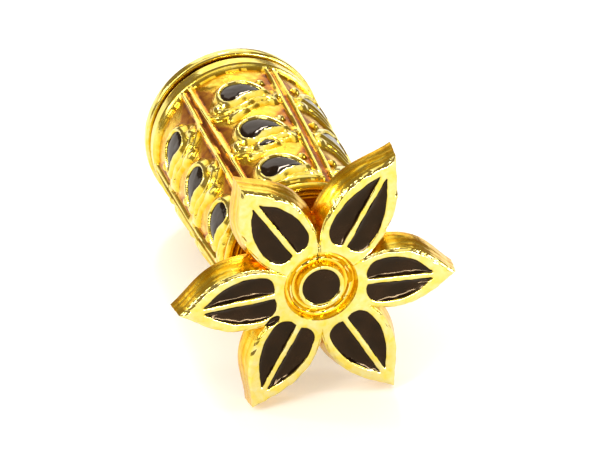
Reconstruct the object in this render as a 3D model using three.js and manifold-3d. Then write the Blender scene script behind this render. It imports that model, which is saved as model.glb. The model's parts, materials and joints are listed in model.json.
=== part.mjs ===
// A stud earring: a hollow drum behind a six-petalled flower. The drum has six framed
// panels of raised drops, and black enamel fills the drops and the petals.
// Millimetres, +Z up. The earring lies as it rests by itself: two petals and the back disc touch
// the surface, and the flower faces -Y. Own frame of the parts: the axis is +Z, out of the flower's
// face, which is at zero, and +Y is up across it.
import * as THREE from 'three';
import { mergeVertices } from 'three/addons/utils/BufferGeometryUtils.js';
import Module from 'manifold-3d';

const wasm = await Module();
wasm.setup();

// Flower
const flowerReach = 8.0;          // centre to a petal's tip, on its back outline
const flowerDepth = 1.5;          // front face to back face
const petalHalfWidth = 2.05;      // on the back outline
const petalWidest = 3.9;          // distance from the centre where a petal is widest
const sideSlope = 0.3;            // how far the sides lean in from back to front
const tipSlope = 0.15;            // the same at the tip
const backEdge = 0.35;            // upright edge at the back, below the sloping side
const rimWidth = 0.48;            // gold between the enamel and the front outline
const midribWidth = 0.36;
const cellStart = 2.5;            // centre to the inner end of a cell
const cellTipRim = 1.25;          // gold between a cell's tip and the front tip
const cellDepth = 0.6;
const enamelDrop = 0.07;          // enamel lies this far below the gold rim
// Boss in the middle of the flower
const dotRadius = 1.0;
const dotRim = 0.26;              // width of the raised rim around the enamel dot
const dotRimRise = 0.12;
const troughOuter = 2.0;
const troughDepth = 0.4;
const troughRidge = 1.62;         // radius of the fine ridge in the trough
const troughRidgeWidth = 0.16;
const troughRidgeHeight = 0.24;
// Sliver of enamel in the fork between two petals
const sliverAngle = 212;
const sliverRadius = 3.15;
const sliverLength = 0.85;
const sliverWidth = 0.4;
// Drum
const drumLength = 15.4;
const drumFarRadius = 4.8;        // ground surface, without the relief
const drumNearRadius = 4.2;
const drumWall = 0.62;
const drumSwell = 1.8;            // power of the taper: above 1, the drum is convex
const panelTurn = 8;              // degrees from a petal's middle to the join of two panels
const reliefHeight = 0.26;
const farBand = 0.9;              // smooth band at each end of the drum
const nearBand = 0.5;
const bandRise = 0.2;
const bandGap = 0.25;             // ground between a band and the frames
const frameWidth = 0.3;
const frameGapFar = 0.14;         // between two frames, at the back and at the flower's end
const frameGapNear = 0.4;
// Drops on the drum
const dropRows = 3;
const dropPitch = 4.4;
const firstDrop = 2.5;            // near end of the drum to the middle of the first drop
const dropHalfWidth = 0.95;
const dropApex = 1.0;             // middle of a drop to its round back
const dropBase = 0.9;             // middle of a drop to its front
const dropTip = 1.1;              // middle of a drop to its point, across the panel
const dropRimWidth = 0.36;
const dropPocket = 0.22;          // floor of a drop's cell, below the drum's ground surface
const dropDome = 0.12;            // how far the enamel swells above its edge
const domeInset = 0.3;
const cradleRadius = 1.72;        // curved leaf under each drop
const cradleWidth = 0.46;
// Small crescent of enamel below the middle drop of the top panel
const crescentPanel = 1;
const crescentRow = 1;
const crescentHalfWidth = 0.42;
const crescentHeight = 0.55;
const crescentGap = 0.6;          // from the drop above it
// Ends, post and fits
const capRecess = 0.4;            // front cap, behind the drum's near rim
const capThickness = 0.5;
const discThickness = 0.65;
const discOverhang = 0.36;        // disc's edge beyond the drum's ground surface
const discGap = 0.3;              // dark line between the disc and the drum
const plugLength = 0.6;           // the part of the back disc inside the drum
const earGap = 1.75;              // back of the flower to the drum's near rim
const postRadius = 0.6;
const postSocket = 0.6;           // how deep the post goes into the flower's back
const postTail = 3.2;             // how far it goes in past the front cap
const fit = 0.08;                 // clearance between pieces
// Facets
const roundSides = 24;
const drumSteps = 3;
const panelSteps = 4;
const curveSteps = 3;

// Petals, with the hand-made flower's small departures. turn is in degrees,
// reach is a share of flowerReach.
const petals = [
  { name: 'a', turn: -1, reach: 1.04 },
  { name: 'b', turn: -3, reach: 0.95 },
  { name: 'c', turn: 0, reach: 1 },
  { name: 'd', turn: 0, reach: 1 },
  { name: 'e', turn: 4, reach: 0.98 },
  { name: 'f', turn: 3, reach: 0.96 },
];

const gold = { color: 0xe0b030, roughness: 0.28, metalness: 1 };
const blackEnamel = { color: 0x1c120c, roughness: 0.12, metalness: 0 };
const sides = [-1, 1];

// Stations along the axis
const flowerBack = -flowerDepth;
const drumNear = flowerBack - earGap;
const drumFar = drumNear - drumLength;
const discFront = drumFar - discGap;
const discBack = discFront - discThickness;
const discRadius = drumFarRadius + discOverhang;
const discBevel = discThickness / 4;

// A closed geometry as a solid, and back
function solidOf(geometry) {
  const bare = geometry.index ? geometry.toNonIndexed() : geometry.clone();
  for (const name of ['normal', 'uv']) bare.deleteAttribute(name);
  const merged = mergeVertices(bare, 1e-5);
  const vertProperties = merged.attributes.position.array;
  const triVerts = new Uint32Array(merged.index.array);
  return new wasm.Manifold(new wasm.Mesh({ numProp: 3, vertProperties, triVerts }));
}

function geometryOf(solid) {
  const mesh = solid.getMesh();
  const points = new Float32Array(mesh.numVert * 3);
  for (let i = 0; i < mesh.numVert; i++) {
    points.set(mesh.vertProperties.subarray(i * mesh.numProp, i * mesh.numProp + 3), i * 3);
  }
  const geometry = new THREE.BufferGeometry();
  geometry.setAttribute('position', new THREE.BufferAttribute(points, 3));
  geometry.setIndex(new THREE.BufferAttribute(new Uint32Array(mesh.triVerts), 1));
  geometry.computeVertexNormals();
  return geometry;
}

const joined = (solids) => solids.reduce((whole, piece) => whole.add(piece));

// A profile of [radius, station] pairs turned about the axis. It runs with the metal on its left.
function turned(profile) {
  const points = profile.map(([radius, station]) => new THREE.Vector2(radius, station));
  return solidOf(new THREE.LatheGeometry(points, roundSides).rotateX(Math.PI / 2));
}

// A ring of rectangular section between two radii and two stations
function ring(inner, outer, low, high) {
  return turned([[inner, low], [outer, low], [outer, high], [inner, high], [inner, low]]);
}

// A flat outline as a prism between two stations
function prism(outline, low, high) {
  const options = { depth: high - low, bevelEnabled: false, curveSegments: curveSteps };
  return new THREE.ExtrudeGeometry(outline, options).translate(0, 0, low);
}

// Joins outlines that have as many points each, as [outline, station] pairs from back to front
function loft(sections) {
  const rings = sections.map(([outline, station]) => {
    const points = outline.getPoints(curveSteps).slice(0, -1);
    if (THREE.ShapeUtils.isClockWise(points)) points.reverse();
    return points.map((point) => [point.x, point.y, station]);
  });
  const count = rings[0].length;
  const last = (rings.length - 1) * count;
  const flat = rings[0].map(([x, y]) => new THREE.Vector2(x, y));
  const faces = [];
  for (const [a, b, c] of THREE.ShapeUtils.triangulateShape(flat, [])) {
    faces.push(a, c, b);
    faces.push(last + a, last + b, last + c);
  }
  for (let k = 0; k < rings.length - 1; k++) {
    for (let i = 0; i < count; i++) {
      const a = k * count + i;
      const b = k * count + ((i + 1) % count);
      faces.push(a, b, b + count, a, b + count, a + count);
    }
  }
  const geometry = new THREE.BufferGeometry();
  geometry.setAttribute('position', new THREE.Float32BufferAttribute(rings.flat(2), 3));
  geometry.setIndex(faces);
  return geometry;
}

// Petals: petal a is up and to the right, and the others follow clockwise
function petalTurn(i) {
  return THREE.MathUtils.degToRad(60 + petals[i].turn) - (i * 2 * Math.PI) / petals.length;
}

function petalOutline(halfWidth, reach) {
  const shape = new THREE.Shape();
  const start = troughOuter / 2;
  const swell = petalWidest + (reach - petalWidest) * 0.5;
  const shoulder = petalWidest * 0.7;
  shape.moveTo(start, -halfWidth * 0.4);
  shape.quadraticCurveTo(shoulder, -halfWidth, petalWidest, -halfWidth);
  shape.quadraticCurveTo(swell, -halfWidth * 0.85, reach, 0);
  shape.quadraticCurveTo(swell, halfWidth * 0.85, petalWidest, halfWidth);
  shape.quadraticCurveTo(shoulder, halfWidth, start, halfWidth * 0.4);
  shape.closePath();
  return shape;
}

// Half of a petal's enamel, on one side of the midrib
function cellOutline(side, reachShare, inset) {
  const reach = flowerReach * reachShare - tipSlope - cellTipRim - inset * 2;
  const widest = petalHalfWidth - sideSlope - rimWidth - inset;
  const rib = midribWidth / 2 + inset;
  const start = cellStart + inset;
  const swell = petalWidest + (reach - petalWidest) * 0.55;
  const shape = new THREE.Shape();
  shape.moveTo(start, side * rib);
  shape.lineTo(start, side * widest * 0.45);
  shape.quadraticCurveTo(start, side * widest, petalWidest * 0.95, side * widest);
  shape.quadraticCurveTo(swell, side * widest * 0.9, reach, side * rib);
  shape.closePath();
  return shape;
}

function sliverOutline(inset) {
  const half = sliverLength / 2 - inset;
  const wide = sliverWidth - inset * 2;
  const shape = new THREE.Shape();
  shape.moveTo(sliverRadius - half, 0);
  shape.quadraticCurveTo(sliverRadius, -wide, sliverRadius + half, 0);
  shape.quadraticCurveTo(sliverRadius, wide, sliverRadius - half, 0);
  return shape;
}

const atSliver = (geometry) => geometry.rotateZ(THREE.MathUtils.degToRad(sliverAngle));

function flowerHead() {
  const bossRadius = troughOuter + rimWidth;
  let body = turned([[0, flowerBack], [bossRadius, flowerBack], [bossRadius, 0], [0, 0]]);
  petals.forEach(({ reach }, i) => {
    const back = petalOutline(petalHalfWidth, flowerReach * reach);
    const front = petalOutline(petalHalfWidth - sideSlope, flowerReach * reach - tipSlope);
    const petal = loft([[back, flowerBack], [back, flowerBack + backEdge], [front, 0]]);
    body = body.add(solidOf(petal.rotateZ(petalTurn(i))));
  });
  petals.forEach(({ reach }, i) => {
    for (const side of sides) {
      const cell = prism(cellOutline(side, reach, 0), -cellDepth, flowerDepth);
      body = body.subtract(solidOf(cell.rotateZ(petalTurn(i))));
    }
  });
  const rimOuter = dotRadius + dotRim;
  const ridgeInner = troughRidge - troughRidgeWidth / 2;
  const ridge = ring(ridgeInner, ridgeInner + troughRidgeWidth, -troughDepth, troughRidgeHeight - troughDepth);
  const socket = turned([[0, -flowerDepth * 2], [postRadius + fit, -flowerDepth * 2],
    [postRadius + fit, flowerBack + postSocket], [0, flowerBack + postSocket]]);
  return body
    .subtract(solidOf(atSliver(prism(sliverOutline(0), -cellDepth, flowerDepth))))
    .subtract(ring(rimOuter, troughOuter, -troughDepth, flowerDepth).subtract(ridge))
    .add(ring(dotRadius, rimOuter, -cellDepth, dotRimRise))
    .subtract(turned([[0, -cellDepth], [dotRadius, -cellDepth], [dotRadius, flowerDepth], [0, flowerDepth]]))
    .subtract(socket);
}

// The drum's ground radius at a distance along it from its near end
function drumRadius(along) {
  const share = THREE.MathUtils.clamp(1 - along / drumLength, 0, 1);
  return drumFarRadius - (drumFarRadius - drumNearRadius) * share ** drumSwell;
}

const boreRadius = (along) => drumRadius(along) - drumWall;
const panelPitch = (2 * Math.PI) / petals.length;
const panelAngle = (i) => THREE.MathUtils.degToRad(panelTurn) + panelPitch * (i + 0.5);
const dropAlong = (row) => firstDrop + row * dropPitch;
const dropSide = (panel) => (panel % 2 ? 1 : -1);

// Wraps an outline on the drum: X runs around it, and Y along it from the near end
function wrapped(outline, height, angle) {
  const root = drumWall / 2;
  const options = { depth: root + height, bevelEnabled: false, curveSegments: curveSteps };
  const geometry = new THREE.ExtrudeGeometry(outline, options);
  const position = geometry.getAttribute('position');
  for (let i = 0; i < position.count; i++) {
    const along = position.getY(i);
    const ground = drumRadius(along);
    const turn = angle - position.getX(i) / ground;
    const radius = ground - root + position.getZ(i);
    position.setXYZ(i, radius * Math.cos(turn), radius * Math.sin(turn), drumNear - along);
  }
  return solidOf(geometry);
}

// Stands a geometry on the plane that touches the drum at a place on it
function standing(geometry, angle, along) {
  const [x, y] = [Math.cos(angle), Math.sin(angle)];
  const frame = new THREE.Matrix4().makeBasis(
    new THREE.Vector3(y, -x, 0),
    new THREE.Vector3(0, 0, -1),
    new THREE.Vector3(x, y, 0),
  );
  const ground = drumRadius(along);
  frame.setPosition(ground * x, ground * y, drumNear - along);
  return geometry.applyMatrix4(frame);
}

// A drop's outline: round at the back, and drawn out to a point on one side of its front.
// side is 1 where the point is clockwise of it, and -1 where it is the other way.
function dropOutline(side, grow, along = 0) {
  const wide = side * (dropHalfWidth + grow);
  const back = along + dropApex + grow;
  const front = along - dropBase - grow;
  const point = [side * (dropTip + grow * 1.2), front + dropBase * 0.1];
  const shape = new THREE.Shape();
  shape.moveTo(...point);
  shape.bezierCurveTo(wide, along, wide * 0.65, back, 0, back);
  shape.bezierCurveTo(-wide * 0.65, back, -wide, along + dropApex * 0.4, -wide, along - dropBase * 0.2);
  shape.bezierCurveTo(-wide, front + dropBase * 0.2, -wide * 0.65, front, -wide * 0.25, front);
  shape.bezierCurveTo(wide * 0.2, front + dropBase * 0.1, wide * 0.6, front + dropBase * 0.35, ...point);
  return shape;
}

// The curved leaf under a drop, from its left side round to its right
function cradleOutline(along) {
  const shape = new THREE.Shape();
  const steps = curveSteps * 2;
  const arc = (radius, lift, i) => {
    const angle = THREE.MathUtils.degToRad(205 + (140 * i) / steps);
    return [radius * Math.cos(angle), along + lift + radius * Math.sin(angle)];
  };
  shape.moveTo(...arc(cradleRadius, 0, 0));
  for (let i = 1; i <= steps; i++) shape.lineTo(...arc(cradleRadius, 0, i));
  for (let i = steps; i >= 0; i--) shape.lineTo(...arc(cradleRadius - cradleWidth / 2, cradleWidth / 2, i));
  shape.closePath();
  return shape;
}

function crescentOutline(inset) {
  const half = crescentHalfWidth - inset;
  const top = crescentHeight / 2 - inset;
  const shape = new THREE.Shape();
  shape.moveTo(-half, -top * 0.6);
  shape.quadraticCurveTo(0, -top * 1.4, half, -top * 0.6);
  shape.quadraticCurveTo(half, top, 0, top);
  shape.quadraticCurveTo(-half, top, -half, -top * 0.6);
  return shape;
}

const crescentAlong = dropAlong(crescentRow) - dropBase - crescentGap - crescentHeight / 2;

// The raised frame of a panel. The gap between two frames widens towards the flower.
function frameOutline() {
  const near = nearBand + bandGap;
  const far = drumLength - farBand - bandGap;
  const corner = (inset, across, share) => {
    const along = near + inset + (far - near - 2 * inset) * share;
    const gap = frameGapNear + (frameGapFar - frameGapNear) * share;
    const half = (drumRadius(along) * panelPitch) / 2 - gap / 2 - inset;
    return new THREE.Vector2(half * across, along);
  };
  const trace = (inset) => {
    const points = [];
    for (let i = 0; i < drumSteps; i++) points.push(corner(inset, 1, i / drumSteps));
    for (let i = 0; i < panelSteps; i++) points.push(corner(inset, 1 - (2 * i) / panelSteps, 1));
    for (let i = 0; i < drumSteps; i++) points.push(corner(inset, -1, 1 - i / drumSteps));
    for (let i = 0; i < panelSteps; i++) points.push(corner(inset, (2 * i) / panelSteps - 1, 0));
    return points;
  };
  const shape = new THREE.Shape(trace(0));
  shape.holes.push(new THREE.Path(trace(frameWidth)));
  return shape;
}

// A smooth band around the drum, between two distances from its near end
function band(from, to) {
  return turned([
    [boreRadius(from), drumNear - from], [boreRadius(to), drumNear - to],
    [drumRadius(to) + bandRise, drumNear - to], [drumRadius(from) + bandRise, drumNear - from],
    [boreRadius(from), drumNear - from],
  ]);
}

function drum() {
  const outside = [];
  for (let i = drumSteps; i >= 0; i--) {
    const along = (drumLength * i) / drumSteps;
    outside.push([drumRadius(along), drumNear - along]);
  }
  const mouth = [boreRadius(0), drumNear];
  const parts = [turned([mouth, [boreRadius(drumLength), drumFar], ...outside, mouth])];
  parts.push(band(0, nearBand), band(drumLength - farBand, drumLength));
  const pockets = [];
  for (let i = 0; i < petals.length; i++) {
    parts.push(wrapped(frameOutline(), reliefHeight, panelAngle(i)));
    for (let row = 0; row < dropRows; row++) {
      const along = dropAlong(row);
      parts.push(wrapped(dropOutline(dropSide(i), dropRimWidth, along), reliefHeight, panelAngle(i)));
      parts.push(wrapped(cradleOutline(along), reliefHeight, panelAngle(i)));
      const pocket = prism(dropOutline(dropSide(i), 0), -dropPocket, flowerDepth);
      pockets.push(standing(pocket, panelAngle(i), along));
    }
  }
  const crescent = prism(crescentOutline(0), -dropPocket, flowerDepth);
  pockets.push(standing(crescent, panelAngle(crescentPanel), crescentAlong));
  return joined(parts).subtract(joined(pockets.map(solidOf)));
}

function frontCap() {
  const front = drumNear - capRecess;
  return ring(postRadius + fit, boreRadius(capRecess) - fit, front - capThickness, front);
}

function backDisc() {
  const plug = boreRadius(drumLength) - fit;
  return turned([[0, discBack], [discRadius - discBevel, discBack], [discRadius, discBack + discBevel],
    [discRadius, discFront - discBevel], [discRadius - discBevel, discFront], [plug, discFront],
    [plug, discFront + discGap + plugLength], [0, discFront + discGap + plugLength]]);
}

function earPost() {
  const front = flowerBack + postSocket - fit;
  const end = drumNear - capRecess - capThickness - postTail;
  return turned([[0, end], [postRadius, end], [postRadius, front], [0, front]]);
}

const earring = new THREE.Group();
const lying = new THREE.Group();
lying.add(earring);

function place(name, geometry, look) {
  const mesh = new THREE.Mesh(geometry, new THREE.MeshStandardMaterial(look));
  mesh.name = name;
  earring.add(mesh);
}

place('flower_head', geometryOf(flowerHead()), gold);
place('drum', geometryOf(drum()), gold);
place('front_cap', geometryOf(frontCap()), gold);
place('back_disc', geometryOf(backDisc()), gold);
place('ear_post', geometryOf(earPost()), gold);

petals.forEach(({ name, reach }, i) => {
  sides.forEach((side, half) => {
    const fill = prism(cellOutline(side, reach, fit), fit - cellDepth, -enamelDrop);
    place(`petal_enamel_${name}${half + 1}`, fill.rotateZ(petalTurn(i)), blackEnamel);
  });
});
place('fork_enamel', atSliver(prism(sliverOutline(fit / 2), fit - cellDepth, -enamelDrop)), blackEnamel);

const dotFill = dotRadius - fit;
const dot = turned([[0, fit - cellDepth], [dotFill, fit - cellDepth], [dotFill, 0], [0, dotRimRise]]);
place('dot_enamel', geometryOf(dot), blackEnamel);

for (let i = 0; i < petals.length; i++) {
  for (let row = 0; row < dropRows; row++) {
    const edge = dropOutline(dropSide(i), -fit);
    const shoulder = reliefHeight - enamelDrop - dropDome;
    const fill = loft([[edge, fit - dropPocket], [edge, shoulder],
      [dropOutline(dropSide(i), -fit - domeInset), shoulder + dropDome]]);
    place(`drop_enamel_${i + 1}_${row + 1}`, standing(fill, panelAngle(i), dropAlong(row)), blackEnamel);
  }
}
const crescentFill = prism(crescentOutline(fit / 2), fit - dropPocket, -enamelDrop / 2);
place('crescent_enamel', standing(crescentFill, panelAngle(crescentPanel), crescentAlong), blackEnamel);

// Lays the earring down: the two lowest petals and the disc's edge come to one level
const lowPetal = flowerReach * Math.cos(Math.PI / petals.length);
const lean = Math.atan2(lowPetal - discRadius, flowerBack - discBack - discBevel);
earring.rotation.x = Math.PI / 2 - lean;
lying.updateMatrixWorld(true);
const bounds = new THREE.Box3().setFromObject(lying, true);
const middle = bounds.getCenter(new THREE.Vector3());
earring.position.set(-middle.x, -middle.y, -bounds.min.z);

export default lying;
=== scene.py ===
# Gold-plated flower stud with black enamel, lying on a pale table
import bpy
import json
import math
import numpy as np
from mathutils import Matrix, Vector


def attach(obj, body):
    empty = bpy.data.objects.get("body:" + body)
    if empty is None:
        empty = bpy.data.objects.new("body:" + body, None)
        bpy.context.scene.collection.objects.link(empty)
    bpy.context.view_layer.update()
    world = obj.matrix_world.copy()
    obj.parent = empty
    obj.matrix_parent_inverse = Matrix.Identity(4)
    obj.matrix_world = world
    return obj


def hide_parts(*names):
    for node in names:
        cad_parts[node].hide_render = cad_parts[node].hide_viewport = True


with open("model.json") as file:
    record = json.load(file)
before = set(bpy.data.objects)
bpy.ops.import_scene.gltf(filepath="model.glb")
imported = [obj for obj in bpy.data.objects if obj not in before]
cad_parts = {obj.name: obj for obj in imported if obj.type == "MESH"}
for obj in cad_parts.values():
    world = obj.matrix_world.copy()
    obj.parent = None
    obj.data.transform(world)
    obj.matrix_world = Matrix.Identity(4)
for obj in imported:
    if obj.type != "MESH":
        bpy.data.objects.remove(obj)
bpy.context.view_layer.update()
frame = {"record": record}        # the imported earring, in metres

tau = 2 * math.pi
mm = 0.001

# The earring's own frame: the axis is +Z, out of the flower's face, +Y is up across it,
# and sizes are millimetres. The back face's mount says where it lies.
axial = {
    "flowerDepth": 1.5,    # front of the flower to its back
    "earGap": 1.75,        # back of the flower to the drum's near rim
    "drumLength": 15.4,
    "discGap": 0.3,
    "discThickness": 0.65,
}
flowerBack = -axial["flowerDepth"]
drumNear = flowerBack - axial["earGap"]
drumFar = drumNear - axial["drumLength"]
discFront = drumFar - axial["discGap"]
discBack = discFront - axial["discThickness"]

backFace = next(m for m in frame["record"]["mounts"] if m["name"] == "back_face")
axisOut = -Vector(backFace["axis"]).normalized()
acrossX = Vector((1, 0, 0))
upAcross = axisOut.cross(acrossX).normalized()
lying = Matrix((acrossX, upAcross, axisOut)).transposed()
faceCentre = Vector(backFace["pos_m"]) - axisOut * discBack * mm
print("frame read, the flower's face is at", [round(v / mm, 2) for v in faceCentre], "mm")


# Shaping

def deselectAll():
    if bpy.context.object and bpy.context.object.mode != "OBJECT":
        bpy.ops.object.mode_set(mode="OBJECT")
    bpy.ops.object.select_all(action="DESELECT")


def smooth(low, high, value):  # soft step from 0 to 1
    share = np.clip((value - low) / (high - low), 0, 1)
    return share * share * (3 - 2 * share)


ridgeCrown = 0.8          # under 1, so that a ridge has a blunter top than a wave
unevenness = {"octaves": 3, "waves": 6, "finer": 1.8, "weaker": 0.6, "spread": 5}
farOutside = -9.0         # stands for the distance to an outline that isn't near


def ridge(distance, width):  # round-topped, 1 on its line and 0 from half its width out
    share = np.clip(np.abs(distance) / (width / 2), 0, 1)
    return np.cos(share * math.pi / 2) ** ridgeCrown


def mound(x, y, centre, radii, turn):  # round-topped oval
    c, s = math.cos(turn), math.sin(turn)
    dx, dy = x - centre[0], y - centre[1]
    reach = np.hypot((dx * c + dy * s) / radii[0], (dy * c - dx * s) / radii[1])
    return np.sqrt(np.clip(1 - reach ** 2, 0, 1))


def uneven(x, y, size, seed):  # soft hand-made unevenness, about -1 to 1
    total = np.zeros_like(x)
    rng = np.random.default_rng(seed)
    for octave in range(unevenness["octaves"]):
        for _ in range(unevenness["waves"]):
            angle, phase = rng.uniform(0, tau, 2)
            wave = (x * math.cos(angle) + y * math.sin(angle)) * tau / size
            wave = wave * unevenness["finer"] ** octave
            total += np.sin(wave + phase) * unevenness["weaker"] ** octave
    return total / unevenness["spread"]


def curves(start, *pieces, steps=10):  # closed outline from cubic curves
    points, at = [], np.array(start, float)
    for a, b, end in pieces:
        a, b, end = np.array(a, float), np.array(b, float), np.array(end, float)
        for i in range(steps):
            t = i / steps
            u = 1 - t
            points.append(at * u ** 3 + 3 * a * t * u * u + 3 * b * t * t * u + end * t ** 3)
        at = end
    if np.linalg.norm(at - points[0]) > 1e-6:
        points.append(at)
    return np.array(points)


def inside(x, y, outline):  # distance to an outline, positive inside it
    best = np.full(x.shape, 1e9)
    odd = np.zeros(x.shape, bool)
    for (ax, ay), (bx, by) in zip(outline, np.roll(outline, -1, axis=0)):
        dx, dy = bx - ax, by - ay
        t = np.clip(((x - ax) * dx + (y - ay) * dy) / (dx * dx + dy * dy), 0, 1)
        best = np.minimum(best, np.hypot(x - ax - t * dx, y - ay - t * dy))
        if ay != by:
            odd ^= ((ay > y) != (by > y)) & (x < (bx - ax) * (y - ay) / (by - ay) + ax)
    return np.where(odd, best, -best)


def insideNear(x, y, outline, margin=0.9):  # the same, worked out only close to the outline
    low, high = outline.min(axis=0) - margin, outline.max(axis=0) + margin
    near = (x > low[0]) & (x < high[0]) & (y > low[1]) & (y < high[1])
    distance = np.full(x.shape, farOutside)
    distance[near] = inside(x[near], y[near], outline)
    return distance


def shapedSheet(name, columns, rows, shape, sharp=50):
    # A flat sheet bent and pressed into its form: shape gives each point's place, in millimetres
    # in the earring's own frame, and its tone with painted shade. Edges that meet are joined.
    deselectAll()
    bpy.ops.mesh.primitive_grid_add(x_subdivisions=columns, y_subdivisions=rows, size=2)
    piece = bpy.context.object
    piece.name = piece.data.name = name
    flat = np.empty(len(piece.data.vertices) * 3, dtype=np.float32)
    piece.data.vertices.foreach_get("co", flat)
    flat = flat.reshape(-1, 3).astype(float)
    # depth holds each point's tone: painted shade in hollows, paler painted highlight on tops
    place, depth = shape((flat[:, 0] + 1) / 2, (flat[:, 1] + 1) / 2)
    place = place * mm @ np.array(lying).T + np.array(faceCentre)
    piece.data.vertices.foreach_set("co", place.astype(np.float32).ravel())
    paintedShadeAndTone = piece.data.attributes.new("paintedShadeAndTone", "FLOAT", "POINT")
    paintedShadeAndTone.data.foreach_set("value", np.clip(depth, 0, 1).astype(np.float32))
    while piece.data.uv_layers:
        piece.data.uv_layers.remove(piece.data.uv_layers[0])
    bpy.ops.object.mode_set(mode="EDIT")
    bpy.ops.mesh.select_all(action="SELECT")
    bpy.ops.mesh.remove_doubles(threshold=mm / 5000)
    bpy.ops.mesh.normals_make_consistent(inside=False)
    bpy.ops.object.mode_set(mode="OBJECT")
    bpy.ops.object.shade_smooth_by_angle(angle=math.radians(sharp))
    return piece


# Finishes

def linear(hexColour):
    channels = [int(hexColour[i:i + 2], 16) / 255 for i in (1, 3, 5)]
    return [c / 12.92 if c <= 0.04045 else ((c + 0.055) / 1.055) ** 2.4 for c in channels] + [1]


def add(tree, kind, settings=None, values=None, links=None):  # a node with its settings and links
    node = tree.nodes.new(kind)
    for key, value in (settings or {}).items():
        setattr(node, key, value)
    for key, value in (values or {}).items():
        node.inputs[key].default_value = value
    for key, source in (links or {}).items():
        tree.links.new(source, node.inputs[key])
    return node


def newMaterial(name):
    material = bpy.data.materials.new(name)
    material.use_nodes = True
    tree = material.node_tree
    tree.nodes.clear()
    return material, tree


# Gold flash plate on cast brass: pale gold on raised tops (rubbed polish and painted highlight),
# deep yellow on the cast ground, orange-brown painted shade in the corners and recesses
goldFinish = {
    "colours": [(0.0, "#E2D694"), (0.2, "#E4CE56"), (0.45, "#E2B21C"), (0.68, "#C47E04"),
                (0.86, "#9A5200"), (1.0, "#4A2800")],
    "castGrain": 0.16,     # millimetres, the grain that the mould leaves
    "fileMarks": 0.5,      # millimetres, long uneven file and tumbling marks
    "stain": (-0.09, 0.11),  # how far the marks move the colour along the ramp
    "polished": 0.13,      # roughness
    "asCast": 0.34,
    "markShare": 0.25,     # of the file marks in the relief
    "pitStrength": 0.5,
    "pitDepth": 0.05,      # millimetres
}


def goldPlate():
    material, tree = newMaterial("goldPlateOnCastBrass")
    place = add(tree, "ShaderNodeTexCoord").outputs["Object"]
    # the tone with painted shade and painted highlight that the mesh carries
    depth = add(tree, "ShaderNodeAttribute", {"attribute_name": "paintedShadeAndTone"}).outputs["Fac"]
    grain = add(tree, "ShaderNodeTexNoise",
                values={"Scale": 1 / (goldFinish["castGrain"] * mm), "Detail": 3.0},
                links={"Vector": place}).outputs["Fac"]
    marks = add(tree, "ShaderNodeTexNoise",
                values={"Scale": 1 / (goldFinish["fileMarks"] * mm), "Detail": 5.0,
                        "Distortion": 0.6},
                links={"Vector": place}).outputs["Fac"]
    paler, darker = goldFinish["stain"]
    stain = add(tree, "ShaderNodeMapRange",
                values={"From Min": 0.3, "From Max": 0.7, "To Min": paler, "To Max": darker},
                links={"Value": marks}).outputs["Result"]
    shade = add(tree, "ShaderNodeMath", {"operation": "ADD", "use_clamp": True},
                links={0: depth, 1: stain})
    ramp = add(tree, "ShaderNodeValToRGB", links={"Fac": shade.outputs[0]})
    stops = ramp.color_ramp.elements
    while len(stops) < len(goldFinish["colours"]):
        stops.new(0.5)
    for stop, (at, colour) in zip(stops, goldFinish["colours"]):
        stop.position = at
        stop.color = linear(colour)
    rough = add(tree, "ShaderNodeMapRange",
                values={"From Min": 0.1, "From Max": 0.8, "To Min": goldFinish["polished"],
                        "To Max": goldFinish["asCast"]},
                links={"Value": shade.outputs[0]})
    height = add(tree, "ShaderNodeMath", {"operation": "MULTIPLY"},
                 links={0: grain, 1: rough.outputs["Result"]})
    relief = add(tree, "ShaderNodeMath", {"operation": "MULTIPLY_ADD"},
                 {1: goldFinish["markShare"]}, links={0: marks, 2: height.outputs[0]})
    pits = add(tree, "ShaderNodeBump",
               values={"Strength": goldFinish["pitStrength"],
                       "Distance": goldFinish["pitDepth"] * mm},
               links={"Height": relief.outputs[0]})
    shader = add(tree, "ShaderNodeBsdfPrincipled", values={"Metallic": 1.0},
                 links={"Base Color": ramp.outputs["Color"], "Roughness": rough.outputs["Result"],
                        "Normal": pits.outputs["Normal"]})
    add(tree, "ShaderNodeOutputMaterial", links={"Surface": shader.outputs["BSDF"]})
    return material


# Vitreous enamel, fired and rubbed: a wet-looking brown-black with the faint swell of a
# filled pool
enamelFinish = {
    "dark": "#0A0403", "light": "#1E1007", "darkUntil": 0.35, "lightFrom": 0.75,
    "shine": "#FFD9A8",    # the warm tint of its reflections
    "shineLevel": 0.3, "ior": 1.45,
    "swell": 1.1,          # millimetres, size of its clouds and swells
    "swellStrength": 0.25, "swellDepth": 0.08,
    "rough": 0.06,
}


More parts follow.
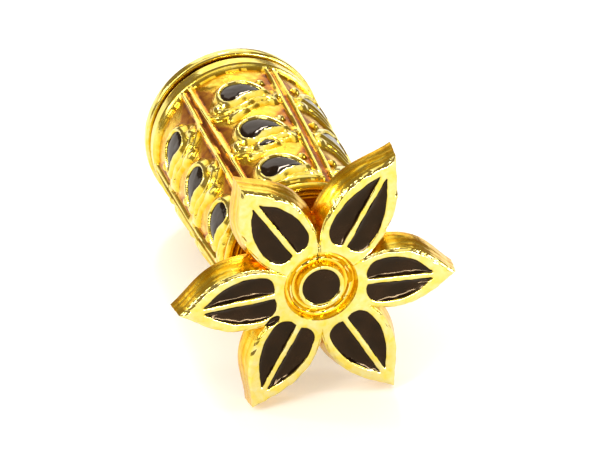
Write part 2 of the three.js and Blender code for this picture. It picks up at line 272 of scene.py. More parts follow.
def blackEnamel():
    material, tree = newMaterial("blackVitreousEnamel")
    place = add(tree, "ShaderNodeTexCoord").outputs["Object"]
    cloud = add(tree, "ShaderNodeTexNoise",
                values={"Scale": 1 / (enamelFinish["swell"] * mm), "Detail": 2.0},
                links={"Vector": place}).outputs["Fac"]
    ramp = add(tree, "ShaderNodeValToRGB", links={"Fac": cloud})
    stops = [("darkUntil", "dark"), ("lightFrom", "light")]
    for stop, (at, colour) in zip(ramp.color_ramp.elements, stops):
        stop.position = enamelFinish[at]
        stop.color = linear(enamelFinish[colour])
    swell = add(tree, "ShaderNodeBump",
                values={"Strength": enamelFinish["swellStrength"],
                        "Distance": enamelFinish["swellDepth"] * mm},
                links={"Height": cloud})
    rough = add(tree, "ShaderNodeMapRange",
                values={"To Min": enamelFinish["rough"], "To Max": enamelFinish["rough"] * 2},
                links={"Value": cloud})
    shader = add(tree, "ShaderNodeBsdfPrincipled",
                 values={"IOR": enamelFinish["ior"],
                         "Specular IOR Level": enamelFinish["shineLevel"],
                         "Specular Tint": linear(enamelFinish["shine"])},
                 links={"Base Color": ramp.outputs["Color"], "Roughness": rough.outputs["Result"],
                        "Normal": swell.outputs["Normal"]})
    add(tree, "ShaderNodeOutputMaterial", links={"Surface": shader.outputs["BSDF"]})
    return material


gold, enamel = goldPlate(), blackEnamel()


def finishPiece(piece, material, slot, *nodes):
    piece.data.materials.clear()
    piece.data.materials.append(material)
    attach(piece, "root")
    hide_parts(*nodes)


# The rings of a pool of enamel, from the middle of its top to the middle of its floor
poolRings = {
    "reach": np.array([0, 0.25, 0.45, 0.62, 0.76, 0.88, 0.96, 1, 1, 1, 0.5, 0.25, 0]),
    "level": np.array([1, 1, 1, 1, 1, 1, 1, 1, 0.5, 0, 0, 0, 0]),
    "waveSize": 1.4,
}


def enamelPool(name, outline, place, depths, seed, columns=64):
    # Enamel in a cell: a domed or sunken top, and a plain body below it. outline is flat, and
    # place stands it up in the earring's own frame.
    middle = outline.mean(axis=0)
    ring = np.vstack([outline, outline[:1]])
    gone = np.r_[0, np.cumsum(np.hypot(*np.diff(ring, axis=0).T))]
    reach, level = poolRings["reach"], poolRings["level"]
    rows = len(reach) - 1

    def shape(across, along):
        row = np.rint(along * rows).astype(int)
        x = np.interp(across * gone[-1], gone, ring[:, 0])
        y = np.interp(across * gone[-1], gone, ring[:, 1])
        x = middle[0] + (x - middle[0]) * reach[row]
        y = middle[1] + (y - middle[1]) * reach[row]
        top = depths["edge"] + depths["swell"] * (1 - reach[row] ** 3)
        top = top + uneven(x, y, poolRings["waveSize"], seed) * depths["wave"]
        body = depths["floor"] + (depths["edge"] - depths["floor"]) * level[row]
        height = np.where(level[row] == 1, top, body)
        return place(x, y, height), np.zeros_like(x)
    return shapedSheet(name, columns, rows, shape, sharp=40)


# Flower head: a thick cast star, its face cut into cells and its sides left filed

flower = {
    "reach": 7.97, "petalHalfWidth": 2.04, "petalWidest": 3.9,
    "sideSlope": 0.3, "tipSlope": 0.15, "backEdge": 0.35,
    "edgeRound": 0.12,     # worn front edge
    "edgeWander": 0.03,    # how far hand filing moves it in and out
    "crotchBlend": 0.09,   # roundness where two petals meet
    "bossRadius": 2.3,
    "cellStart": 2.5, "midrib": 0.36, "rim": 0.48, "cellTipRim": 1.25,
    "cellDepth": 0.36,
    "fileMark": 0.018,     # depth of the marks along the sides
    "columns": 720, "faceRows": 62, "bossRows": 32, "sideRows": 14, "backRows": 4,
}
petals = [  # turn in degrees, reach as a share of the flower's
    {"name": "a", "turn": -1, "reach": 1.04},
    {"name": "b", "turn": -3, "reach": 0.95},
    {"name": "c", "turn": 0, "reach": 1},
    {"name": "d", "turn": 0, "reach": 1},
    {"name": "e", "turn": 4, "reach": 0.98},
    {"name": "f", "turn": 3, "reach": 0.96},
]
boss = {
    "dotRadius": 1.0, "rim": 0.26, "rimRise": 0.1,
    "troughOuter": 2.0, "troughDepth": 0.34,
    "fineRidge": 1.62, "fineWidth": 0.2, "fineHeight": 0.16,
}
face = {  # cast unevenness in millimetres, and tones as places on the gold's ramp
    "swell": 0.02, "swellSize": 3.2, "wander": 0.025, "wanderSize": 1.3,
    "tone": 0.1, "toneSpread": 0.05, "toneSize": 1.1,
    "cellWall": (-0.03, 0.09), "cellLip": (-0.12, 0), "lipDrop": 0.03,
    # painted shade down into the cells, in the trough and along its corners
    "cellEdge": (-0.1, 0.03), "cellShade": 0.16,
    "troughWall": 0.1, "troughShade": 0.16, "cornerShade": 0.3,
    "outerCorner": 0.1, "outerWidth": 0.22, "innerCorner": 0.08, "innerWidth": 0.2,
    # the fine ridge paler: rubbed polish and painted highlight
    "fineWander": 0.03, "fineSize": 1.5, "fineTone": 0.2,
    "rimWall": (-0.03, 0.06), "dotWall": (-0.02, 0.08),
}
flowerSide = {  # its share runs from 0 at the face to 1 at the back
    "slopeEnd": 0.8, "straight": 0.2,
    "edgeStep": 0.004,     # radians, over which the outline's slant is taken
    "wanderSize": 1.6, "roundSize": 0.9, "roundSpread": 0.5, "roundReach": 1.8,
    "marks": [(0.6, 19, 5, 9), (0.4, 37, 3.5, 10)],  # strength, number, size of bends, seed
    "markBend": 2, "marksStart": (0.05, 0.3), "marksEnd": (0.9, 1),
    # slopeShade and crotchShade are painted shade, towards the back and into the crotches
    "tone": 0.3, "markTone": 0.14, "slopeShade": 0.16,
    "crotchRadius": 3.9, "crotchWidth": 1.4, "crotchFade": (0.45, 0.9), "crotchShade": 0.18,
}
sliver = {"angle": 212, "radius": 3.15, "length": 0.85, "width": 0.36}


def petalAngle(i):
    return math.radians(60 + petals[i]["turn"]) - i * tau / len(petals)


def petalOutline(halfWidth, far):
    near, wide = boss["troughOuter"] / 2, flower["petalWidest"]
    belly = wide + (far - wide) * 0.55
    return curves((near, 0),
                  ((wide * 0.4, -halfWidth * 0.7), (wide * 0.7, -halfWidth), (wide, -halfWidth)),
                  ((belly, -halfWidth * 0.98), (belly + 0.5, -halfWidth * 0.42), (far, 0)),
                  ((belly + 0.5, halfWidth * 0.42), (belly, halfWidth * 0.98), (wide, halfWidth)),
                  ((wide * 0.7, halfWidth), (wide * 0.4, halfWidth * 0.7), (near, 0)))


def starRadius(angle, narrower, shorter):  # the flower's outline, as a radius at each angle
    reach = np.zeros_like(angle)
    blend = flower["crotchBlend"]
    for i, petal in enumerate(petals):
        outline = petalOutline(flower["petalHalfWidth"] - narrower,
                               flower["reach"] * petal["reach"] - shorter)
        half = outline[outline[:, 1] >= -1e-9]
        turn, radius = np.arctan2(half[:, 1], half[:, 0]), np.hypot(half[:, 0], half[:, 1])
        outer = radius >= radius[np.argmax(turn)]
        turn, radius = turn[outer], radius[outer]
        order = np.argsort(turn)
        away = np.abs((angle - petalAngle(i) + math.pi) % tau - math.pi)
        edge = np.interp(away, turn[order], radius[order], right=flower["bossRadius"])
        reach += np.exp(edge / blend)
    return np.log(reach) * blend


def cellOutline(side, reachShare):
    far = flower["reach"] * reachShare - flower["tipSlope"] - flower["cellTipRim"]
    wide = flower["petalHalfWidth"] - flower["sideSlope"] - flower["rim"]
    near, rib = flower["cellStart"], flower["midrib"] / 2
    points = curves((near + 0.08, rib),
                    ((near - 0.06, rib + 0.3), (near - 0.02, wide * 0.8),
                     (near + 0.55, wide * 0.95)),
                    ((near + 1.4, wide * 1.12), (near + 2.7, wide * 0.95), (far - 0.3, rib + 0.12)),
                    ((far - 0.1, rib + 0.03), (far, rib), (far - 0.25, rib)))
    return points * np.array([1, side])


def turnOutline(points, angle):
    c, s = math.cos(angle), math.sin(angle)
    return points @ np.array([[c, s], [-s, c]])


def sliverOutline():
    near = sliver["radius"] - sliver["length"] / 2
    far = sliver["radius"] + sliver["length"] / 2
    wide = sliver["width"] * 0.7
    points = curves((near, 0), ((near + 0.1, -wide), (far - 0.25, -wide), (far, 0)),
                    ((far - 0.25, wide), (near + 0.1, wide), (near, 0)))
    return turnOutline(points, math.radians(sliver["angle"]))


flowerCells = {}
for i, petal in enumerate(petals):
    for number, side in ((1, -1), (2, 1)):
        cell = turnOutline(cellOutline(side, petal["reach"]), petalAngle(i))
        flowerCells[f"petal_enamel_{petal['name']}{number}"] = cell
flowerCells["fork_enamel"] = sliverOutline()


def faceHeight(x, y):  # height and depth shade of the flower's face
    radius = np.hypot(x, y)
    height = uneven(x, y, face["swellSize"], seed=3) * face["swell"]
    shade = face["tone"] + uneven(x, y, face["toneSize"], seed=4) * face["toneSpread"]
    wander = uneven(x, y, face["wanderSize"], seed=6) * face["wander"]
    for outline in flowerCells.values():
        gap = insideNear(x, y, outline) + wander
        height -= (flower["cellDepth"] * smooth(*face["cellWall"], gap)
                   + face["lipDrop"] * smooth(*face["cellLip"], gap))
        # painted shade down into each cell
        shade += face["cellShade"] * smooth(*face["cellEdge"], gap)
    fromDot = radius - boss["dotRadius"] - boss["rim"]
    trough = smooth(0, face["troughWall"], fromDot)
    trough = trough * smooth(0, face["troughWall"], boss["troughOuter"] - radius)
    height -= boss["troughDepth"] * trough
    outerCorner = ridge(radius - boss["troughOuter"] + face["outerCorner"], face["outerWidth"])
    # painted shade in the trough and along its two corners
    shade += face["troughShade"] * trough + face["cornerShade"] * outerCorner
    shade += face["cornerShade"] * ridge(fromDot - face["innerCorner"], face["innerWidth"])
    wavy = boss["fineRidge"] + uneven(x, y, face["fineSize"], seed=5) * face["fineWander"]
    fine = ridge(radius - wavy, boss["fineWidth"])
    height += boss["fineHeight"] * fine
    # the fine ridge paler: rubbed polish and painted highlight
    shade -= face["fineTone"] * fine
    rim = smooth(*face["rimWall"], radius - boss["dotRadius"])
    rim = rim * smooth(*face["rimWall"], boss["dotRadius"] + boss["rim"] - radius)
    height += boss["rimRise"] * rim
    height -= flower["cellDepth"] * smooth(*face["dotWall"], boss["dotRadius"] - radius)
    return height, shade


flowerRows = flower["bossRows"] + flower["faceRows"] + flower["sideRows"] + flower["backRows"]


def flowerShape(across, along):
    row = np.rint(along * flowerRows)
    angle = across * tau
    bossShare = np.clip(row / flower["bossRows"], 0, 1)
    row = row - flower["bossRows"]
    faceShare = np.clip(row / flower["faceRows"], 0, 1)
    row = row - flower["faceRows"]
    sideShare = np.clip(row / flower["sideRows"], 0, 1)
    backShare = np.clip((row - flower["sideRows"]) / flower["backRows"], 0, 1)
    front = starRadius(angle, flower["sideSlope"], flower["tipSlope"])
    back = starRadius(angle, 0, 0)
    step = flowerSide["edgeStep"]
    ahead = starRadius(angle + step, flower["sideSlope"], flower["tipSlope"])
    slant = (ahead - front) / (step * front)
    slope = np.clip(sideShare / flowerSide["slopeEnd"], 0, 1)
    around, aside = back * np.cos(angle), back * np.sin(angle)
    wander = uneven(around, aside, flowerSide["wanderSize"], seed=8)
    front = front + wander * flower["edgeWander"]
    radius = flower["bossRadius"] * bossShare + (front - flower["bossRadius"]) * faceShare
    radius = (radius + (back - front) * slope) * (1 - backShare)
    marks = np.zeros_like(angle)
    for strength, number, size, seed in flowerSide["marks"]:
        bend = uneven(around, aside, size, seed) * flowerSide["markBend"]
        marks += strength * np.sin(sideShare * number + bend)
    onSide = smooth(*flowerSide["marksStart"], sideShare)
    onSide = onSide * (1 - smooth(*flowerSide["marksEnd"], sideShare))
    radius = radius - flower["fileMark"] * (1 + marks) * onSide
    x, y = radius * np.cos(angle), radius * np.sin(angle)
    height, shade = faceHeight(x, y)
    edge = (front - radius) / np.hypot(1, slant)
    worn = uneven(around, aside, flowerSide["roundSize"], seed=7)
    worn = flower["edgeRound"] * (1 + flowerSide["roundSpread"] * worn)
    rounding = worn * (1 - smooth(0, worn * flowerSide["roundReach"], edge)) ** 2
    height = np.where(sideShare > 0, 0, height) - rounding * (1 - slope)
    filed = flowerSide["tone"] - flowerSide["markTone"] * marks * onSide
    # painted shade, darker down the side towards the back
    shade = np.where(sideShare > 0, filed + flowerSide["slopeShade"] * slope, shade)
    depth = axial["flowerDepth"]
    height = height * (1 - slope) - (depth - flower["backEdge"]) * slope
    straight = np.clip((sideShare - flowerSide["slopeEnd"]) / flowerSide["straight"], 0, 1)
    height = height - flower["backEdge"] * straight
    inward = 1 - (back - flowerSide["crotchRadius"]) / flowerSide["crotchWidth"]
    crotch = smooth(*flowerSide["crotchFade"], inward) * (sideShare > 0)
    # painted shade in the crotch between two petals
    shade = shade + flowerSide["crotchShade"] * crotch * slope
    return np.stack([x, y, height], axis=1), shade


flowerHead = shapedSheet("flowerHead", flower["columns"], flowerRows, flowerShape)
finishPiece(flowerHead, gold, "gold_plate", "flower_head")

cellFill = 1.03            # an enamel reaches a little under the rounded rim of its cell
petalPool = {"edge": -0.02, "swell": -0.1, "wave": 0.018, "floor": -0.5}


def onFace(x, y, height):
    return np.stack([x, y, height], axis=1)


for index, (node, outline) in enumerate(flowerCells.items()):
    middle = outline.mean(axis=0)
    grown = middle + (outline - middle) * cellFill
    start, *rest = node.split("_")
    name = start + "".join(word.title() for word in rest)
    pool = enamelPool(name, grown, onFace, petalPool, 20 + index)
    finishPiece(pool, enamel, "black_enamel", node)
ringAngles = np.linspace(0, tau, 48, endpoint=False)
dotPool = {"edge": 0.0, "swell": 0.05, "wave": 0.01, "floor": -0.5, "grow": 0.01, "flatter": 0.97}
dotOutline = np.stack([np.cos(ringAngles), np.sin(ringAngles) * dotPool["flatter"]], axis=1)
dotOutline = dotOutline * (boss["dotRadius"] + dotPool["grow"])
pool = enamelPool("dotEnamel", dotOutline, onFace, dotPool, 50)
finishPiece(pool, enamel, "black_enamel", "dot_enamel")
print("flower made")


# Drum: a tapered tube of six pressed panels, each with three framed drops

drum = {
    "farRadius": 4.8, "nearRadius": 4.2, "wall": 0.62, "swell": 1.8,
    "panelTurn": 8, "panels": 6,
    "farBand": 0.9, "nearBand": 0.5, "bandRise": 0.19, "bandGap": 0.25,
    "frameWidth": 0.32, "frameHeight": 0.24, "frameGapFar": 0.14, "frameGapNear": 0.4,
    "columns": 400, "outerRows": 196, "rimRows": 14, "boreRows": 6, "farRows": 6,
}
drops = {
    "rows": 3, "first": 2.5, "pitch": 4.4,
    "skirt": 0.66, "rimHeight": 0.26, "cellDepth": 0.26,
}


def groundRadius(along):
    share = np.clip(1 - along / axial["drumLength"], 0, 1)
    return drum["farRadius"] - (drum["farRadius"] - drum["nearRadius"]) * share ** drum["swell"]


def dropOutline(mirror):  # a comma: round head on one side, its tail across to the other
    points = curves((1.25, -0.42), ((0.98, 0.38), (0.5, 0.94), (-0.12, 0.94)),
                    ((-0.7, 0.94), (-1, 0.45), (-1, 0)),
                    ((-1, -0.5), (-0.9, -0.95), (-0.55, -0.95)),
                    ((-0.2, -0.95), (-0.1, -0.62), (0.3, -0.55)),
                    ((0.6, -0.5), (0.9, -0.46), (1.25, -0.42)))
    return points * np.array([mirror, 1])


crescent = curves((-0.42, -0.18), ((-0.2, -0.34), (0.2, -0.34), (0.42, -0.16)),
                  ((0.4, 0.2), (0.15, 0.27), (0, 0.27)),
                  ((-0.15, 0.27), (-0.4, 0.2), (-0.42, -0.18)))
crescentPlace = {"panel": 1, "along": 5.13}

# The relief around the drops, in millimetres, with tones as places on the gold's ramp
leaves = [  # raised arcs in front of a drop, fading out at so many degrees from their middles
    {"out": 0.78, "width": 0.5, "rise": 0.23, "middle": 8, "fade": (55, 95)},
    {"out": 1.24, "width": 0.4, "rise": 0.17, "middle": -12, "fade": (45, 80)},
]
grains = [  # low ovals: across, along, half width, half length, tilt
    (-0.6, -2.32, 0.8, 0.4, 0.45), (1.5, -1.3, 0.4, 0.6, 0.2), (-1.5, -0.95, 0.3, 0.6, -0.25),
    (1.4, 0.75, 0.3, 0.24, 0.3),
]
pressed = {
    # riseTone makes raised relief paler (rubbed polish and painted highlight); the rest is painted
    # shade
    "bezelEdge": -0.1, "bezelFall": 1.3, "grainRise": 0.25, "riseTone": -1.3,
    "wedgeEdge": 0.14, "wedgeStart": 1.14, "wedgeSpread": 0.6, "wedgeMiddle": 0.9,
    "wedgeClear": 0.07, "wedgeDepth": 0.1, "wedgeShade": 0.3,
    "cellWall": (-0.03, 0.08), "cellShade": 0.3,
}
skin = {
    "fine": 0.014, "fineSize": 0.9, "swell": 0.02, "swellSize": 3.0, "swellShift": 5,
    "tone": 0.44, "toneSpread": 0.1, "toneSize": 0.9, "toneShift": 3, "dropReach": 3.0,
}
crescentLook = {
    "clear": 0.9, "lowered": (0.2, 0.9), "rise": 0.16, "rim": (-0.4, -0.06),
    "depth": 0.16, "cell": (-0.02, 0.06), "lit": (-0.3, -0.1), "litTone": 0.1, "cellShade": 0.3,
}
frameLook = {
    "wander": 0.02, "wanderSize": 6, "wanderShift": 4,
    # painted shade in the channel beside a frame line and in the groove between panels
    "besideWidth": 2.2, "besideDepth": 0.05, "besideShade": 0.2, "besideUntil": 0.2,
    "toneFrom": 0.05, "footTone": 0.5, "topTone": 0.36, "betweenShade": 0.86, "betweenDepth": 0.08,
}
bandLook = {
    "near": [(0.2, 0.34, 1), (0.5, 0.2, 0.8)],  # from the near rim, width, share of the rise
    "nearFrom": 0.1, "nearFoot": 0.6, "nearTop": 0.45,
    "farEdge": 0.12, "farWorn": 0.6, "farFrom": 0.2,
    "farTone": 0.2, "farSpread": 0.06, "farSize": 1.4,
}
mouth = {  # the drum's near rim and its inside
    "start": 0.04, "rings": [(0.1, 0.25, 0.3), (0.12, 0.7, 0.36)],  # rise, place, width
    "tone": 0.55, "ringTone": 3.2, "boreShade": 0.85, "farTone": 0.95,
}


def panelMiddle(panel):
    return math.radians(drum["panelTurn"]) + tau / drum["panels"] * (panel + 0.5)


def motif(x, y, mirror):  # relief of one drop, around its middle
    gap = inside(x, y, dropOutline(mirror))
    x = x * mirror
    turn = np.degrees(np.arctan2(x, -y))
    bezel = smooth(-drops["skirt"], pressed["bezelEdge"], gap) ** pressed["bezelFall"]
    tops = [(drops["rimHeight"], bezel)]
    for leaf in leaves:
        faded = smooth(*leaf["fade"], np.abs(turn - leaf["middle"]))
        tops.append((leaf["rise"], ridge(gap + leaf["out"], leaf["width"]) * (1 - faded)))
    for across, up, wide, high, tilt in grains:
        tops.append((pressed["grainRise"], mound(x, y, (across, up), (wide, high), tilt)))
    height = np.maximum.reduce([rise * shape for rise, shape in tops])
    # raised relief paler: rubbed polish and painted highlight
    shade = np.minimum.reduce([pressed["riseTone"] * rise * shape for rise, shape in tops])
    spread = pressed["wedgeSpread"] * np.abs(y - pressed["wedgeMiddle"])
    wedge = smooth(-pressed["wedgeEdge"], pressed["wedgeEdge"],
                   np.abs(x) - pressed["wedgeStart"] - spread)
    wedge = wedge * (1 - smooth(0, pressed["wedgeClear"], height))
    cell = smooth(*pressed["cellWall"], gap)
    height = height - pressed["wedgeDepth"] * wedge - drops["cellDepth"] * cell
    # painted shade in the wedge pits and down into the drop's cell
    return height, shade + pressed["wedgeShade"] * wedge + pressed["cellShade"] * cell


def withCrescent(height, shade, gap):  # its rim and its cell, on ground that is lowered for it
    look = crescentLook
    rim = height * smooth(*look["lowered"], -gap) + look["rise"] * smooth(*look["rim"], gap)
    height = np.where(gap > -look["clear"], rim, height)
    cell = smooth(*look["cell"], gap)
    # the raised rim paler (painted highlight with rubbed polish), painted shade down into the cell
    shade = shade - look["litTone"] * smooth(*look["lit"], gap) + look["cellShade"] * cell
    return height - look["depth"] * cell, shade


def withFrame(height, shade, side, along, near, far):  # a line around a panel, side from it
    look, width = frameLook, drum["frameWidth"]
    cross = np.minimum(np.abs(along - near - width / 2), np.abs(along - far + width / 2))
    inFrame = (along > near) & (along < far)
    line = np.maximum(ridge(side, width) * inFrame, ridge(cross, width) * (side < width / 2))
    beside = ridge(side, width * look["besideWidth"]) * inFrame
    lowered = height - look["besideDepth"] * beside * (line < look["besideUntil"])
    height = np.maximum(lowered, drum["frameHeight"] * line)
    # the line paler towards its top (rubbed polish and painted highlight), painted shade beside it
    onLine = np.minimum(shade, look["footTone"] - look["topTone"] * line)
    shade = np.where(line > look["toneFrom"], onLine, shade + look["besideShade"] * beside)
    # painted shade in the lowered groove between two panels' frames
    between = (side > width / 2) & inFrame
    shade = np.where(between, look["betweenShade"], shade)
    return np.where(between, height - look["betweenDepth"], height), shade


def drumRelief(angle, along):
    ground = groundRadius(along)
    step = tau / drum["panels"]
    panel = np.floor((angle - math.radians(drum["panelTurn"])) / step)
    mirror = np.where(panel % 2 == 0, -1, 1)
    x = -((angle - math.radians(drum["panelTurn"])) / step - panel - 0.5) * step * ground
    swell = uneven(x + panel * skin["swellShift"], along, skin["swellSize"], seed=32)
    height = uneven(x, along, skin["fineSize"], seed=31) * skin["fine"] + swell * skin["swell"]
    tone = uneven(x + panel * skin["toneShift"], along, skin["toneSize"], seed=33)
    shade = skin["tone"] + tone * skin["toneSpread"]
    for row in range(drops["rows"]):
        y = along - drops["first"] - row * drops["pitch"]
        for side in (-1, 1):
            here = (mirror == side) & (np.abs(y) < skin["dropReach"])
            rise, tone = motif(x[here], y[here], side)
            before = height[here]
            height[here] = np.where(rise < 0, np.minimum(before, rise), np.maximum(before, rise))
            shade[here] += tone
    gap = inside(x, along - crescentPlace["along"], crescent)
    gap = np.where(panel == crescentPlace["panel"], gap, farOutside)
    height, shade = withCrescent(height, shade, gap)
    share = along / axial["drumLength"]
    frameGap = drum["frameGapNear"] + (drum["frameGapFar"] - drum["frameGapNear"]) * share
    half = ground * step / 2 - frameGap / 2
    wobble = uneven(along, panel * frameLook["wanderShift"], frameLook["wanderSize"], seed=34)
    side = np.abs(x) - half + drum["frameWidth"] / 2 + wobble * frameLook["wander"]
    near = drum["nearBand"] + drum["bandGap"]
    far = axial["drumLength"] - drum["farBand"] - drum["bandGap"]
    height, shade = withFrame(height, shade, side, along, near, far)
    nearBands = np.maximum.reduce([share * ridge(along - place, width)
                                   for place, width, share in bandLook["near"]])
    beyond = along - axial["drumLength"]
    farBand = smooth(0, bandLook["farEdge"], beyond + drum["farBand"])
    farBand = farBand * (1 - smooth(-bandLook["farEdge"], 0, beyond) * bandLook["farWorn"])
    rise = drum["bandRise"] * np.maximum(nearBands, farBand)
    height = np.maximum(height * (along > near) * (along < far), rise)
    # the near bands paler on top (rubbed polish and painted highlight), painted shade at their feet
    nearTone = bandLook["nearFoot"] - bandLook["nearTop"] * nearBands
    shade = np.where(nearBands > bandLook["nearFrom"], nearTone, shade)
    # the far band pale: rubbed polish and painted highlight, with random tone
    farTone = uneven(x + panel, along, bandLook["farSize"], seed=35) * bandLook["farSpread"]
    shade = np.where(farBand > bandLook["farFrom"], bandLook["farTone"] + farTone, shade)
    return height, shade


drumRows = [drum["outerRows"], drum["farRows"], drum["boreRows"], drum["rimRows"]]


def drumShape(across, along):
    row = np.rint(along * sum(drumRows))
    angle = across * tau
    shares = []
    for count in drumRows:
        shares.append(np.clip(row / count, 0, 1))
        row = row - count
    outer, farEnd, bore, rim = shares
    station = axial["drumLength"] * outer
    height, shade = drumRelief(angle, station)
    radius = groundRadius(station) + height
    inFar = drum["farRadius"] - drum["wall"]
    inNear = drum["nearRadius"] - drum["wall"]
    radius = np.where(farEnd > 0, radius + (inFar - radius) * farEnd, radius)
    radius = np.where(bore > 0, inFar + (inNear - inFar) * bore, radius)
    station = np.where(bore > 0, axial["drumLength"] * (1 - bore), station)
    lip = drumRelief(angle, np.zeros_like(angle))[0] + drum["nearRadius"]
    radius = np.where(rim > 0, inNear + (lip - inNear) * rim, radius)
    rings = sum(rise * ridge(rim - place, width) for rise, place, width in mouth["rings"])
    station = np.where(rim > 0, mouth["start"] - rings * (rim < 1), station)
    station = np.maximum(station, 0)
    # the rim's raised rings paler: rubbed polish and painted highlight
    shade = np.where(rim > 0, mouth["tone"] - mouth["ringTone"] * rings, shade)
    # painted shade inside the bore and inside the far end (farTone here)
    shade = np.where((bore > 0) & (rim == 0), mouth["boreShade"], shade)
    shade = np.where((farEnd > 0) & (bore == 0), mouth["farTone"], shade)
    x, y = radius * np.cos(angle), radius * np.sin(angle)
    return np.stack([x, y, drumNear - station], axis=1), shade


drumPiece = shapedSheet("drumShell", drum["columns"], sum(drumRows), drumShape, sharp=60)
finishPiece(drumPiece, gold, "gold_plate", "drum")

dropPool = {"edge": 0.15, "swell": 0.07, "wave": 0.012, "floor": -0.3}
crescentPool = {"edge": 0.12, "swell": 0.05, "wave": 0.01, "floor": -0.3}


def onDrum(panel, middle):
    def place(x, y, height):
        along = middle + y
        ground = groundRadius(along)
        angle = panelMiddle(panel) - x / ground
        radius = ground + height
        return np.stack([radius * np.cos(angle), radius * np.sin(angle), drumNear - along], axis=1)
    return place


for panel in range(drum["panels"]):
    mirror = -1 if panel % 2 == 0 else 1
    for row in range(drops["rows"]):
        place = onDrum(panel, drops["first"] + row * drops["pitch"])
        pool = enamelPool(f"dropEnamel{panel + 1}{row + 1}", dropOutline(mirror) * cellFill, place,
                          dropPool, 60 + panel * 3 + row)
        finishPiece(pool, enamel, "black_enamel", f"drop_enamel_{panel + 1}_{row + 1}")
place = onDrum(crescentPlace["panel"], crescentPlace["along"])
pool = enamelPool("crescentEnamel", crescent, place, crescentPool, 90)
finishPiece(pool, enamel, "black_enamel", "crescent_enamel")
print("drum made")


# Ends and post

ends = {
    "capRecess": 0.4, "capThickness": 0.5, "hole": 0.63, "capBevel": 0.06,
    "discRadius": 5.14, "discBevel": 0.15, "lip": 0.55, "lipDepth": 0.05, "plugLength": 0.6,
    "postRadius": 0.6, "postSocket": 0.55, "postTail": 3.2, "postBevel": 0.16,
    "capClearance": 0.01, "plugClearance": 0.02,
}
endTones = {  # places on the gold's ramp, and how wide each edge's tone reaches in
    "cap": 0.3, "capEdge": 0.4, "capEdgeWidth": 0.2,
    # the plug's dark tone is painted shade in the gap to the drum
    "plug": 0.97, "plugStart": 0.2, "plugBelow": 0.05,
    "discEdge": 0.12, "discEdgeWidth": 0.7, "discFace": 0.3, "post": 0.35,
}
facing = 0.9              # the least slope of a face that counts as flat across the axis
close = 0.01              # millimetres, near enough to lie on an edge


def barStock(name, radius, low, high, sides=144):  # round bar between two stations
    deselectAll()
    middle = (low + high) / 2 * mm
    bpy.ops.mesh.primitive_cylinder_add(vertices=sides, radius=radius * mm,
                                        depth=(high - low) * mm, location=(0, 0, middle))
    piece = bpy.context.object
    piece.name = piece.data.name = name
    bpy.ops.object.transform_apply(location=True)
    return piece


def pick(piece, kind, chosen):
    # Selects faces or edges by place. chosen gets the radius, the station along the axis, and
    # a face's slope across the axis or an edge's rise along it.
    bpy.ops.object.mode_set(mode="EDIT")
    bpy.ops.mesh.select_mode(type=kind)
    bpy.ops.mesh.select_all(action="DESELECT")
    bpy.ops.object.mode_set(mode="OBJECT")
    points = [v.co / mm for v in piece.data.vertices]
    for item in piece.data.polygons if kind == "FACE" else piece.data.edges:
        corners = [points[i] for i in item.vertices]
        radius = sum(math.hypot(c.x, c.y) for c in corners) / len(corners)
        station = [c.z for c in corners]
        slope = item.normal.z if kind == "FACE" else max(station) - min(station)
        item.select = chosen(radius, sum(station) / len(station), slope)
    bpy.ops.object.mode_set(mode="EDIT")


def layDown(piece, shadeOf, sharp=40):
    # Marks each place's tone and painted shade, and puts the piece in its place
    bpy.ops.object.mode_set(mode="OBJECT")
    paintedShadeAndTone = piece.data.attributes.new("paintedShadeAndTone", "FLOAT", "POINT")
    for vertex, value in zip(piece.data.vertices, paintedShadeAndTone.data):
        value.value = shadeOf(math.hypot(vertex.co.x, vertex.co.y) / mm, vertex.co.z / mm)
    piece.matrix_world = Matrix.Translation(faceCentre) @ lying.to_4x4()
    bpy.ops.object.transform_apply(location=True, rotation=True, scale=True)
    bpy.ops.object.shade_smooth_by_angle(angle=math.radians(sharp))


# Cap: a washer around the post
capRadius = float(groundRadius(ends["capRecess"])) - drum["wall"] - ends["capClearance"]
capFront = drumNear - ends["capRecess"]
capBack = capFront - ends["capThickness"]
cap = barStock("frontCap", capRadius, capBack, capFront)
pick(cap, "FACE", lambda radius, station, slope: abs(slope) > facing)
bpy.ops.mesh.inset(thickness=(capRadius - ends["hole"]) * mm)
bpy.ops.mesh.delete(type="FACE")
pick(cap, "EDGE", lambda radius, station, rise: abs(radius - ends["hole"]) < close and rise < close)
bpy.ops.mesh.bridge_edge_loops()
pick(cap, "EDGE", lambda radius, station, rise: radius > capRadius - close and rise < close)
bpy.ops.mesh.bevel(offset=ends["capBevel"] * mm, segments=3, affect="EDGES")
capRim = capRadius - endTones["capEdgeWidth"]
layDown(cap, lambda radius, station: endTones["cap"] + endTones["capEdge"] * (radius > capRim))
finishPiece(cap, gold, "gold_plate", "front_cap")

# Back disc: a rounded flange with a thin lip behind, and its plug in the drum
discRadius = ends["discRadius"]
plugRadius = drum["farRadius"] - drum["wall"] - ends["plugClearance"]
disc = barStock("backDisc", discRadius, discBack, discFront, sides=240)
pick(disc, "FACE", lambda radius, station, slope: slope > facing)
bpy.ops.mesh.inset(thickness=(discRadius - plugRadius) * mm)
plugRise = (axial["discGap"] + ends["plugLength"]) * mm
bpy.ops.mesh.extrude_region_move(TRANSFORM_OT_translate={"value": (0, 0, plugRise)})
pick(disc, "FACE", lambda radius, station, slope: slope < -facing)
bpy.ops.mesh.inset(thickness=ends["lip"] * mm)
bpy.ops.mesh.inset(thickness=ends["lipDepth"] * 2 * mm, depth=-ends["lipDepth"] * mm)
pick(disc, "EDGE", lambda radius, station, rise: radius > discRadius - close and rise < close)
bpy.ops.mesh.bevel(offset=ends["discBevel"] * mm, segments=5, affect="EDGES")


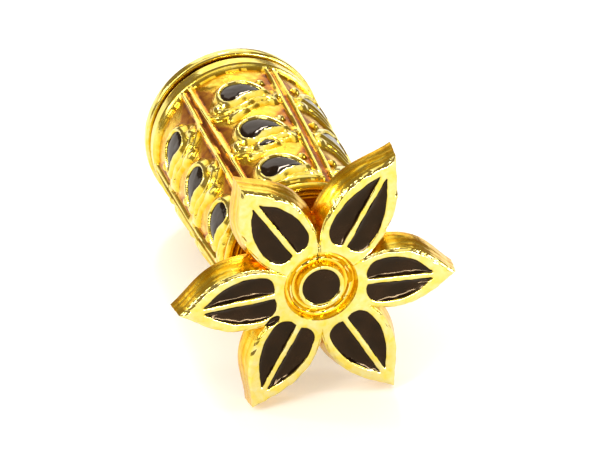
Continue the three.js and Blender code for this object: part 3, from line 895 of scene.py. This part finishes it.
def discTone(radius, station):  # dark in the gap to the drum, bright on the rubbed edge
    inGap = station > discFront - endTones["plugBelow"]
    # painted shade: the plug lies in the gap to the drum
    if radius < discRadius - endTones["plugStart"] and inGap:
        return endTones["plug"]
    if radius > discRadius - endTones["discEdgeWidth"]:
        return endTones["discEdge"]
    return endTones["discFace"]


layDown(disc, discTone)
finishPiece(disc, gold, "gold_plate", "back_disc")

# Post: a plain pin from the flower's back into the drum
post = barStock("earPost", ends["postRadius"], capBack - ends["postTail"],
                flowerBack + ends["postSocket"], sides=64)
pick(post, "EDGE", lambda radius, station, rise: rise < close)
bpy.ops.mesh.bevel(offset=ends["postBevel"] * mm, segments=4, affect="EDGES")
layDown(post, lambda radius, station: endTones["post"])
finishPiece(post, gold, "gold_plate", "ear_post")
print("ends made")


# Table, light and camera

stageLook = {
    "table": "#FAFAF8", "tableSize": 1.6,
    "fibre": 900.0,        # per metre, the fine unevenness of the card's shine
    "glow": 0.2,           # lifts the card to the photo's blown-out white
    "air": "#DCC4A0",      # warm room, which the gold reflects
    "airStrength": 0.42,
    "middle": (0, 0, 0.006),
}
deselectAll()
bpy.ops.mesh.primitive_plane_add(size=stageLook["tableSize"], location=(0, 0, 0))
table = bpy.context.object
table.name = "paleTable"
paper, tree = newMaterial("matWhiteCard")
place = add(tree, "ShaderNodeTexCoord").outputs["Object"]
fibre = add(tree, "ShaderNodeTexNoise", values={"Scale": stageLook["fibre"], "Detail": 3.0},
            links={"Vector": place}).outputs["Fac"]
rough = add(tree, "ShaderNodeMapRange", values={"To Min": 0.6, "To Max": 0.8},
            links={"Value": fibre})
shader = add(tree, "ShaderNodeBsdfPrincipled",
             values={"Base Color": linear(stageLook["table"]),
                     "Emission Color": linear(stageLook["table"]),
                     "Emission Strength": stageLook["glow"]},
             links={"Roughness": rough.outputs["Result"]})
add(tree, "ShaderNodeOutputMaterial", links={"Surface": shader.outputs["BSDF"]})
table.data.materials.append(paper)

world = bpy.data.worlds.new("studio")
bpy.context.scene.world = world
world.use_nodes = True
air = world.node_tree.nodes["Background"]
air.inputs["Color"].default_value = linear(stageLook["air"])
air.inputs["Strength"].default_value = stageLook["airStrength"]

softboxes = [  # name, where from the earring in metres, width, height, watts
    ("overhead", (0.0, 0.04, 0.42), 0.5, 0.6, 1.05),
    ("backWall", (0.12, 0.5, 0.2), 0.5, 0.22, 0.55),
    ("backLeft", (-0.5, 0.33, 0.12), 0.4, 0.18, 0.3),
    ("keyLeft", (-0.32, -0.15, 0.25), 0.12, 0.3, 0.8),
    ("fillRight", (0.4, -0.15, 0.15), 0.1, 0.25, 0.6),
    ("frontStrip", (0.13, -0.5, 0.03), 0.34, 0.03, 2.0),
    ("sparkleBack", (0.05, 0.36, 0.33), 0.07, 0.07, 0.7),
    ("sparkleLeft", (-0.4, 0.2, 0.2), 0.06, 0.06, 0.4),
]
for name, place, width, height, watts in softboxes:
    deselectAll()
    bpy.ops.object.light_add(type="AREA", location=Vector(stageLook["middle"]) + Vector(place))
    light = bpy.context.object
    light.name = name
    light.data.shape = "RECTANGLE"
    light.data.size, light.data.size_y = width, height
    light.data.energy = watts
    light.rotation_mode = "QUATERNION"
    light.rotation_quaternion = Vector(place).to_track_quat("Z", "Y")

view = {
    "azimuth": -15.1, "elevation": 33.3,     # the photo's viewing angle
    "distance": 0.178,
    "lens": 196.0,
    "aim": (0.001, -0.0021, 0.0057),
    "clip": (0.01, 5),
}
turn, rise = math.radians(view["azimuth"]), math.radians(view["elevation"])
back = Vector((math.sin(turn) * math.cos(rise), -math.cos(turn) * math.cos(rise), math.sin(rise)))
bpy.ops.object.camera_add(location=Vector(view["aim"]) + back * view["distance"])
camera = bpy.context.object
camera.rotation_mode = "QUATERNION"
camera.rotation_quaternion = back.to_track_quat("Z", "Y")
camera.data.lens = view["lens"]
camera.data.clip_start, camera.data.clip_end = view["clip"]
bpy.context.scene.camera = camera
# Standard keeps the gold as saturated as it is in the photo
bpy.context.scene.view_settings.view_transform = "Standard"
deselectAll()
print("table, light and camera set")
